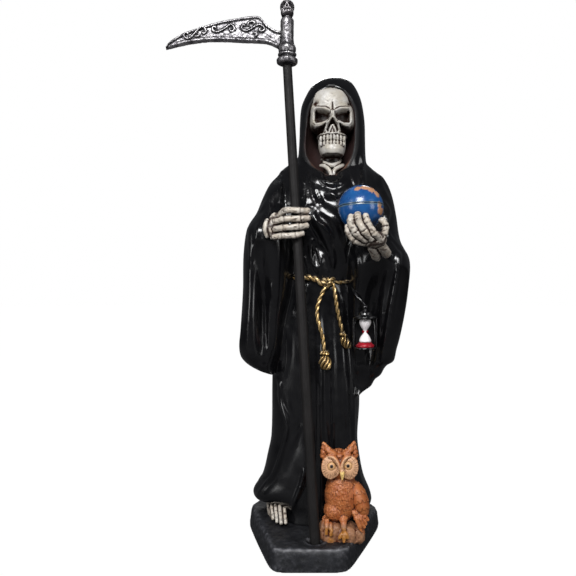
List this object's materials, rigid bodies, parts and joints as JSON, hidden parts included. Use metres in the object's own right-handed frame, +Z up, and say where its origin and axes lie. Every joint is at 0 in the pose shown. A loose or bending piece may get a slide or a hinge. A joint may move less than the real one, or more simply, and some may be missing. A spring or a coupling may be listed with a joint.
{
  "type": "santa muerte figure",
  "caption": "Hooded skeleton in a black robe with a globe, an owl and a rope belt, on a low plinth with six sides, holding a tall scythe.",
  "frame": {"origin": "on the floor, on the plinth's flat underside, below its middle", "axes": "+Z up, -Y the way the face looks, +X to the right of someone who looks at the face"},
  "size_m": [0.1538, 0.1152, 0.3418],
  "materials": {
    "painted_resin": "glossy black paint with bone, blue, gold and tan details",
    "dark_wood": "dark matte stain",
    "silver_paint": "silver with black patina"
  },
  "bodies": {
    "root": {"figure": "painted_resin", "scythe_staff": "dark_wood", "scythe_head": "silver_paint"}
  },
  "joints": []
}
